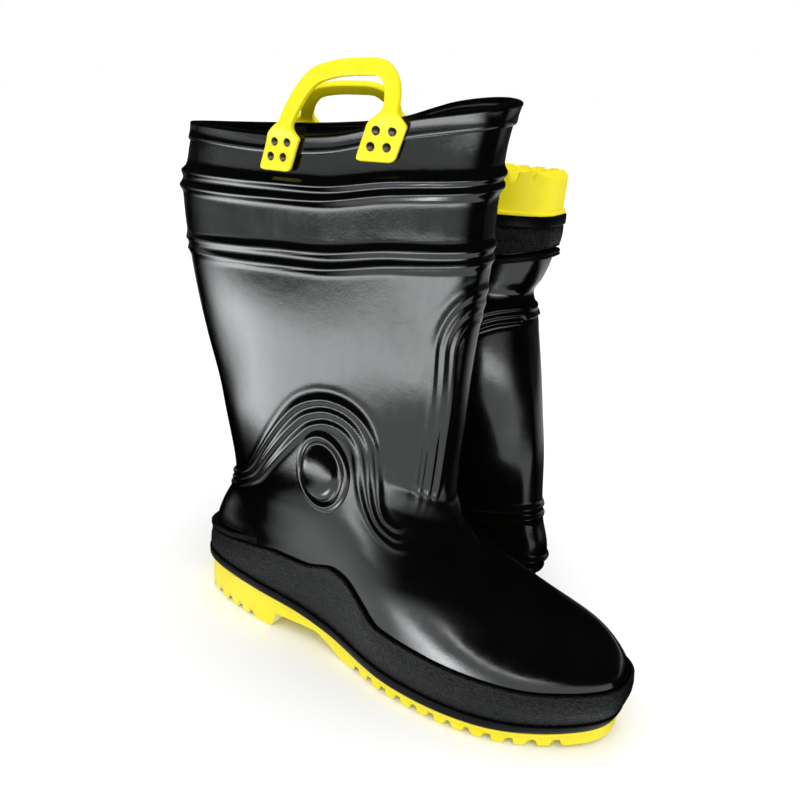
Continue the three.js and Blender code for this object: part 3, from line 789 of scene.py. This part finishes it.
def outsole(boot):
    angle = sole_angles()
    n = len(angle)
    x = foot_outline(boot, angle, OUTLINE, 0)[:, 0]
    top, bottom = sole_top(x), tread_z(x)
    mask = slot_mask(x, np.zeros(n))
    groove_top = np.minimum(bottom + TREAD * mask, top - 3.5)
    rows = []
    # height share from the flange down, and distance in from the outline
    flange = ((0, 1.4), (0, 0.5), (0.35, 0.05), (1.2, 0), (2.2, 0.15), (2.7, 0.7), (2.9, 1.7), (3.4, 2.0))
    for drop, inset in flange:
        rows.append(foot_outline(boot, angle, OUTLINE - inset, top - drop))
    depth = np.clip(top - 3.6 - groove_top, 0.05, None)
    for share in (0.15, 0.5, 0.8, 1):
        rows.append(foot_outline(boot, angle, OUTLINE - 1.9 + 0.4 * share, top - 3.5 - depth * share))
    tread_edge = foot_outline(boot, angle, OUTLINE - 1.5 - 2.6 * mask, groove_top)
    rows.append(tread_edge)
    points, faces = lofted(rows, fan=False)
    half = n // 2
    for i in range(half):
        quad = clean([i, i + 1, n - i - 1, (n - i) % n])
        if quad:
            faces.append(tuple(reversed(quad)))
    # the tread: lines across from the lateral to the medial edge
    across = 34
    base = (len(rows) - 1) * n
    lateral = tread_edge[:half + 1, None]
    medial = tread_edge[(n - np.arange(half + 1)) % n, None]
    share = (0.5 - 0.5 * np.cos(math.pi * np.arange(across + 1) / across))[:, None]
    tread = lateral + (medial - lateral) * share
    edge = np.minimum(share, 1 - share)[..., 0] * np.abs(medial - lateral)[..., 1] + 2.0
    groove = slot_mask(tread[..., 0], edge)
    tread[..., 2] = np.minimum(tread_z(tread[..., 0]) + TREAD * groove, sole_top(tread[..., 0]) - 3.5)
    start = len(points)
    points = list(points) + list(tread[:, 1:-1].reshape(-1, 3))

    def corner(i, k):
        if k == 0 or i in (0, half):
            return base + i
        return base + n - i if k == across else start + i * (across - 1) + k - 1

    for i in range(half):
        for k in range(across):
            quad = clean([corner(i, k), corner(i + 1, k), corner(i + 1, k + 1), corner(i, k + 1)])
            if quad:
                faces.append(quad)
    add(boot, "outsole_moulding", (points, faces), "sole_yellow", "outsole")


# ---------- inside ----------
def lining(boot):
    angle = round_the_boot(160)
    room = 2.8
    inset = WALL + 1
    low = boot.level_at(angle, sole_top(boot.point(angle, 0.02)[:, 0]) + 9.5)
    up = np.linspace(0, 1, 110)[:, None]
    v = low + (12 / 14 - low) * up
    a = np.broadcast_to(angle, v.shape)
    base = boot.point(a, v)
    extra = room * stepped(212, 240, base[..., 0])
    x, z = base[..., 0], base[..., 2]
    wrinkle = 0.3 * np.sin(z / 5 + x / 19) * np.sin(x / 13 - z / 31)
    hem = 0.5 * hump((1 - up) * 100, 3.2)
    n = boot.normal(a, v)
    outer = base - n * (inset + extra)[..., None]
    inner = base - n * (inset + extra + 1.5 + wrinkle.clip(0) + hem)[..., None]
    inner[0, :, 2] += 1.5
    add(boot, "lining_sock", shell(list(outer), list(inner)), "lining_textile", "lining")


def footbed(boot):
    """A cushioned insole with a rounded edge and a slight lip round its top."""
    angle = round_the_boot(200)
    outline = boot.offset(angle, 0.02, OUTLINE - 16)
    middle = (outline + outline[-np.arange(len(angle))]) / 2
    rows = []
    profile = [(0.3, 11.9), (0.7, 11.9), (0.97, 11.9), (1.0, 12.6), (1.0, 15.2), (0.985, 16.3), (0.96, 16.8),
               (0.93, 16.6), (0.9, 16.2), (0.87, 16.2), (0.8, 16.4), (0.6, 16.3), (0.4, 16.2),
               (0.2, 16.2), (0.04, 16.2)]
    for share, rise in profile:
        ring = middle + (outline - middle) * share
        ring[:, 2] = sole_top(ring[:, 0]) + rise + 0.5
        rows.append(ring)
    add(boot, "insole", lofted(rows), "footbed_foam", "footbed")


# ---------- handles ----------
LOOP_LINE = [(0, 0), (0.045, 6), (0.12, 13), (0.23, 21), (0.36, 26.5), (0.56, 28.2), (0.78, 27.2), (0.95, 25),
             (1.03, 18), (1.035, 9), (1, 0)]


def unit(v):
    v = np.asarray(v, float)
    return v / np.linalg.norm(v, axis=-1, keepdims=True)


def pad_spots(boot, side):
    """Top middle of each pad on one side: x and height."""
    spots = []
    for lateral_x in PAD_X:
        x = lateral_x - (MEDIAL_SET_BACK if side > 0 else 0)
        angle, v = boot.on_side(side, x, 500)
        spots.append((x, float(boot.point(angle, v)[2]) - boot.pad_drop))
    return spots


def neck(boot, side, x, top):
    angle, v = boot.on_side(side, x + PAD_LEAN * HINGE_RISE, top - 1)
    p = boot.point(angle, v) + boot.normal(angle, v) * HINGE_OUT
    p[2] = top + HINGE_RISE
    return p


def loop_frame(boot, side, fold):
    """Both necks, the loop's forward, outward and upward directions once folded, and outward before."""
    rear, front = (neck(boot, side, x, top) for x, top in pad_spots(boot, side))
    forward = unit(front - rear)
    out = unit(np.array([forward[1], -forward[0], 0]) * -side)
    up = np.cross(out, forward) * -side
    folded_out = out * math.cos(fold) - up * math.sin(fold)
    folded_up = up * math.cos(fold) + out * math.sin(fold)
    return rear, front, forward, folded_out, folded_up, out


def pad_column(boot, side, x, top, steps):
    """Centres, widthwise and outward directions up the middle of one pad, bottom to top."""
    h = np.linspace(-PAD_HEIGHT, 0, steps)
    angle, v = boot.on_side(side, x + PAD_LEAN * h, top + h)
    ahead = boot.placed(side, x + PAD_LEAN * h + 2, top + h, 0)
    behind = boot.placed(side, x + PAD_LEAN * h - 2, top + h, 0)
    out = boot.normal(angle, v)
    centre = boot.point(angle, v) + out * (PAD_INNER + PAD_THICK / 2)
    return centre, unit(ahead - behind), out


def softened(values, width):
    """Gaussian smoothing along the first axis, with the ends held."""
    reach = int(width * 3)
    kernel = hump(np.arange(-reach, reach + 1), width * 1.4)
    kernel /= kernel.sum()
    padded = np.concatenate([np.repeat(values[:1], reach, 0), values, np.repeat(values[-1:], reach, 0)])
    return np.stack([np.convolve(padded[:, k], kernel, mode="valid") for k in range(values.shape[1])], 1)


def handle(boot, side_name):
    """Two pads and their loop as one moulding, swept from one pad's foot to the other's."""
    side = SIDES[side_name]
    rear, front, forward, out, up, outward_only = loop_frame(boot, side, boot.folds[side_name])
    (x0, top0), (x1, top1) = pad_spots(boot, side)
    steps = 26
    c0, a0, n0 = pad_column(boot, side, x0, top0, steps)
    c1, a1, n1 = pad_column(boot, side, x1, top1, steps)
    t = np.linspace(0, 1, 90)
    spacing = np.linalg.norm(front - rear)
    line = np.array(LOOP_LINE, float)
    along = spacing * curve_at(line[:, 0], t)
    rise = curve_at(line[:, 1], t)
    loop = rear + along[:, None] * forward + rise[:, None] * up
    tangent = unit(np.gradient(loop, axis=0))
    widthwise = unit(np.cross(tangent, out)) * side
    centres = np.concatenate([c0, loop, c1[::-1]])
    widths = np.concatenate([a0, widthwise, -a1[::-1]])
    outs = np.concatenate([n0, np.repeat(out[None], len(t), 0), n1[::-1]])
    if np.dot(widths[steps - 1], widths[steps]) < 0:
        widths[steps:steps + len(t)] *= -1
    # even steps along the path, then eased at the necks
    run = np.concatenate([[0], np.cumsum(np.linalg.norm(np.diff(centres, axis=0), axis=1))])
    even = np.linspace(0, run[-1], 220)
    step = even[1]
    centres, widths, outs = (np.stack([np.interp(even, run, values[:, k]) for k in range(3)], 1)
                             for values in (centres, widths, outs))
    neck_at = np.minimum(np.abs(even - run[steps - 1] - 3), np.abs(even - (run[-1] - run[steps - 1]) + 3))
    ease = (1 - stepped(5, 10, neck_at))[:, None]
    centres = centres * (1 - ease) + softened(centres, 2.2 / step) * ease
    widths = unit(softened(widths, 3.5 / step))
    outs = softened(outs, 3.0 / step)
    outs = unit(outs - widths * np.sum(outs * widths, 1, keepdims=True))
    from_end = np.minimum(even, run[-1] - even)
    shoulder = 1 - stepped(PAD_HEIGHT, PAD_HEIGHT + 10, from_end)
    half = LOOP_WIDTH / 2 + (PAD_WIDTH - LOOP_WIDTH) / 2 * shoulder
    corner = 3.2
    inside = np.clip(corner - from_end, 0, corner)
    half = half - corner + np.sqrt(np.clip(corner ** 2 - inside ** 2, 0, None))
    thinner = 1 - stepped(PAD_HEIGHT - 3, PAD_HEIGHT + 8, from_end)
    thick = LOOP_THICK / 2 + (PAD_THICK - LOOP_THICK) / 2 * thinner
    thick = thick * np.sqrt(np.clip(1 - np.clip(1 - from_end / 1.2, 0, 1) ** 2, 0.04, None))
    turn = round_the_boot(36)
    across, through = square(np.cos(turn), 0.35), square(np.sin(turn), 0.35)
    rings = [c + np.outer(across * h, w) + np.outer(through * k, o)
             for c, w, o, h, k in zip(centres, widths, outs, half, thick)]
    points, faces = lofted(rings)
    placed = boot.place(points)
    name = f"{boot.name}_handle_{side_name}"
    piece = new_object(name, placed, outward(placed, faces), MATERIALS["handle_yellow"])
    nodes = [f"{boot.name}_handle_loop_{side_name}"]
    nodes += [f"{boot.name}_handle_pad_{side_name}_{end}" for end in ("rear", "front")]
    finish_piece(piece, None, "handle_yellow", *nodes)
    hinge = (rear + front) / 2
    if boot.inverted:
        start, end = hinge + outward_only * 1.2, hinge + outward_only * 4.8
    else:
        start, end = hinge - up * 3.4, hinge + up * 1.4
    tuple(boot.place(start))
    tuple(boot.place(end))
    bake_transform(piece)


def rivet_spots(boot, side, x, top):
    cx, cz = x - PAD_LEAN * RIVET_DROP, top - RIVET_DROP
    for i in (-0.5, 0.5):
        for k in (-0.5, 0.5):
            rise = k * RIVET_SPACING[1]
            angle, v = boot.on_side(side, cx + i * RIVET_SPACING[0] + PAD_LEAN * rise, cz + rise)
            yield boot.point(angle, v), boot.normal(angle, v)


def turned(point, axis, profile, sides=28):
    """A lathe about an axis: (distance along, radius) pairs."""
    helper = np.array([0, 0, 1.0]) if abs(axis[2]) < 0.8 else np.array([1.0, 0, 0])
    u = unit(np.cross(axis, helper))
    w = np.cross(axis, u)
    turn = round_the_boot(sides)
    circle = np.outer(np.cos(turn), u) + np.outer(np.sin(turn), w)
    return lofted([point + axis * d + circle * max(r, 0.05) for d, r in profile])


def joined(parts):
    points, faces = [], []
    for part_points, part_faces in parts:
        base = len(points)
        points += list(part_points)
        faces += [tuple(i + base for i in face) for face in part_faces]
    return points, faces


def rivets(boot, side_name, end_name, x, top):
    """Four domed rivets with washers, clinched on one backing plate inside the wall."""
    side = SIDES[side_name]
    face = PAD_INNER + PAD_THICK
    head = [(-WALL - 1.4, 1.6), (face - 0.3, 1.6), (face - 0.2, 2.5), (face + 0.15, 2.55),
            (face + 0.35, 2.35), (face + 0.4, 1.95), (face + 0.8, 1.8), (face + 1.1, 1.35),
            (face + 1.22, 0.7), (face + 1.25, 0.1)]
    parts = [turned(point, axis, head) for point, axis in rivet_spots(boot, side, x, top)]
    drop = RIVET_DROP + 0.5
    cx, cz = x - PAD_LEAN * drop, top - drop
    turn = round_the_boot(48)
    rows = []
    for scale, out in ((0.96, -WALL - 0.75), (1, -WALL - 0.95), (1, -WALL - 1.6), (0.96, -WALL - 1.85)):
        px = cx + 8 * scale * square(np.cos(turn)) + PAD_LEAN * 7 * square(np.sin(turn))
        pz = cz + 7 * scale * square(np.sin(turn))
        rows.append(boot.placed(side, px, pz, out))
    parts.append(lofted(rows))
    node = f"rivets_{side_name}_{end_name}"
    add(boot, f"rivet_group_{side_name}_{end_name}", joined(parts), "rivet_dark", node)


# ---------- the pair ----------
def dress_cad_nodes():
    """The sheets that stay as the CAD made them get their finishes."""
    for boot in (RIGHT, LEFT):
        for node, slot in (("penetration_plate", "steel"), ("shank", "steel"), ("toe_cap", "steel"),
                           ("insole_board", "board_fibre")):
            cad = frame["nodes"][f"{boot.name}_{node}"]
            cad.data.materials.clear()
            cad.data.materials.append(MATERIALS[slot])


def build(boot):
    upper(boot)
    collar_band(boot)
    rand(boot)
    welt(boot)
    kick_spur(boot)
    outsole(boot)
    lining(boot)
    footbed(boot)
    for side_name, side in SIDES.items():
        ankle_pad(boot, side_name)
        handle(boot, side_name)
        for end_name, (x, top) in zip(("rear", "front"), pad_spots(boot, side)):
            rivets(boot, side_name, end_name, x, top)


# ---------- studio ----------
# Only glossy rays meet this light. The camera and matt surfaces see a plain floor, so it is a
# stand-in that shapes the reflections and not a real studio. It is a ring by distance in metres
# from SWEEP_CENTRE, lit towards one bearing, and a patch by the forefoot.
SWEEP_CENTRE = (0.22, -0.05)
SWEEP_REACH = 4.0
SWEEP = ((0, 0.16), (0.48, 0.17), (0.56, 0.4), (0.66, 0.9), (0.95, 0.9), (1.3, 0.55), (1.75, 0.07),
         (2.2, 0.06), (3.2, 0.17), (4.0, 0.1))
SWEEP_LIGHT = 9.0
SWEEP_BEARING = math.radians(249)
PATCH_MIDDLE = (0.155, -0.175)
PATCH_HALF = (0.055, 0.03)
PATCH_LIGHT = 12
FLOOR_HALF = 60.0
FLOOR_Z = -0.0004


def split_by_ray(nodes, links, plain, glossy, surface):
    """Glossy rays meet one shader and every other ray meets the plain one."""
    mix = nodes.new("ShaderNodeMixShader")
    links.new(nodes.new("ShaderNodeLightPath").outputs["Is Glossy Ray"], mix.inputs["Fac"])
    links.new(plain.outputs[0], mix.inputs[1])
    links.new(glossy.outputs[0], mix.inputs[2])
    links.new(mix.outputs[0], surface)


def sweep_color(s, reach):
    ramp = s.node("ValToRGB")
    elements = ramp.color_ramp.elements
    while len(elements) < len(SWEEP):
        elements.new(0.5)
    for element, (distance, share) in zip(elements, SWEEP):
        element.position = distance / SWEEP_REACH
        element.color = (0.97 * share, share, 1.01 * share, 1)
    s.links.new(s.combined(reach, SWEEP_REACH, "DIVIDE"), ramp.inputs["Fac"])
    return ramp.outputs["Color"]


def towards(s, x, y, reach, none, full):
    """1 within full degrees of the sweep's bearing and 0 beyond none degrees."""
    along = s.combined(s.times(x, math.cos(SWEEP_BEARING)),
                       s.times(y, math.sin(SWEEP_BEARING)))
    share = s.node("MapRange", interpolation_type="SMOOTHSTEP")
    share.inputs["From Min"].default_value = math.cos(math.radians(none))
    share.inputs["From Max"].default_value = math.cos(math.radians(full))
    s.links.new(s.combined(along, s.combined(reach, 0.001, "MAXIMUM"), "DIVIDE"), share.inputs["Value"])
    return share.outputs["Result"]


def patch_light(s, across, along):
    """A soft round spot."""
    squares = [s.combined(s.combined(s.combined(axis, middle, "SUBTRACT"), half, "DIVIDE"), 2, "POWER")
               for axis, middle, half in zip((across, along), PATCH_MIDDLE, PATCH_HALF)]
    return s.combined(2.718, s.times(s.combined(*squares), -1), "POWER")


def floor():
    s = Shader("studio_floor", (0.93, 0.93, 0.93), 0.9)
    s.tint(s.noise(3, 2), (0.92, 0.92, 0.92), (0.94, 0.94, 0.94))
    axes = s.node("SeparateXYZ")
    s.links.new(s.coordinate, axes.inputs[0])
    across, along = axes.outputs[0], axes.outputs[1]
    x = s.combined(across, SWEEP_CENTRE[0], "SUBTRACT")
    y = s.combined(along, SWEEP_CENTRE[1], "SUBTRACT")
    reach = s.combined(s.combined(s.times(x, x), s.times(y, y)), 0.5, "POWER")
    far = s.between(reach, 0.46, 0.6, 0, 1)
    near = s.times(s.combined(1, far, "SUBTRACT"), s.between(across, -0.1, -0.01, 0, 1))
    near = s.times(near, s.between(along, -0.01, 0.02, 1, 0))
    near = s.combined(near, s.times(patch_light(s, across, along), PATCH_LIGHT))
    near = s.combined(near, s.between(along, 0.25, 0.6, 0, 0.1))
    strength = s.combined(near, s.times(far, towards(s, x, y, reach, 72, 46)))
    glow = s.node("Emission")
    s.links.new(sweep_color(s, reach), glow.inputs["Color"])
    s.links.new(s.times(strength, SWEEP_LIGHT), glow.inputs["Strength"])
    split_by_ray(s.nodes, s.links, s.bsdf, glow, s.nodes["Material Output"].inputs["Surface"])
    corners = [(FLOOR_HALF * i, FLOOR_HALF * k, FLOOR_Z) for i, k in ((-1, -1), (1, -1), (1, 1), (-1, 1))]
    new_object("studio_floor", corners, [(0, 1, 2, 3)], s.material, smooth=False)


def overhead_light():
    """A broad soft sun, which reflections don't show."""
    data = bpy.data.lights.new("overhead", "SUN")
    data.energy = 1.2
    data.angle = math.radians(70)
    obj = bpy.data.objects.new("overhead", data)
    bpy.context.scene.collection.objects.link(obj)
    place, target = Vector((0.2, -0.3, 2)), Vector((0.1, 0.05, 0))
    obj.location = place
    obj.rotation_euler = (target - place).to_track_quat("-Z", "Y").to_euler()
    obj.visible_camera = False
    obj.visible_glossy = False


def world():
    """White to the camera and to matt surfaces, and nearly black in reflections."""
    w = bpy.data.worlds.new("studio")
    bpy.context.scene.world = w
    w.use_nodes = True
    nodes, links = w.node_tree.nodes, w.node_tree.links
    plain, dim = nodes["Background"], nodes.new("ShaderNodeBackground")
    plain.inputs["Color"].default_value = (1, 1, 1, 1)
    dim.inputs["Color"].default_value = (0.008, 0.008, 0.009, 1)
    split_by_ray(nodes, links, plain, dim, nodes["World Output"].inputs["Surface"])


CAMERA_PLACE = (0.37083, -0.43252, 0.38187)
CAMERA_TURN = (33.917, 22.508, 2.264)   # degrees left of +y, down, and rolled
CAMERA_LENS = 35.81
CAMERA_SHIFT = (0.0671, 0.0300)


def camera():
    yaw, pitch, roll = (math.radians(turn) for turn in CAMERA_TURN)
    look = np.array([-math.sin(yaw) * math.cos(pitch), math.cos(yaw) * math.cos(pitch), -math.sin(pitch)])
    right = np.array([math.cos(yaw), math.sin(yaw), 0])
    up = np.cross(right, look)
    turned_right = right * math.cos(roll) + up * math.sin(roll)
    turned_up = up * math.cos(roll) - right * math.sin(roll)
    data = bpy.data.cameras.new("camera")
    data.sensor_width = 36
    data.lens = CAMERA_LENS
    data.shift_x, data.shift_y = CAMERA_SHIFT
    data.clip_start = 0.01
    obj = bpy.data.objects.new("camera", data)
    bpy.context.scene.collection.objects.link(obj)
    m = Matrix.Identity(4)
    for column, values in enumerate((turned_right, turned_up, -look, CAMERA_PLACE)):
        for row in range(3):
            m[row][column] = values[row]
    obj.matrix_world = m
    bpy.context.scene.camera = obj


camera()
dress_cad_nodes()
build(RIGHT)
build(LEFT)
floor()
world()
overhead_light()
bpy.context.scene.view_settings.view_transform = "Standard"
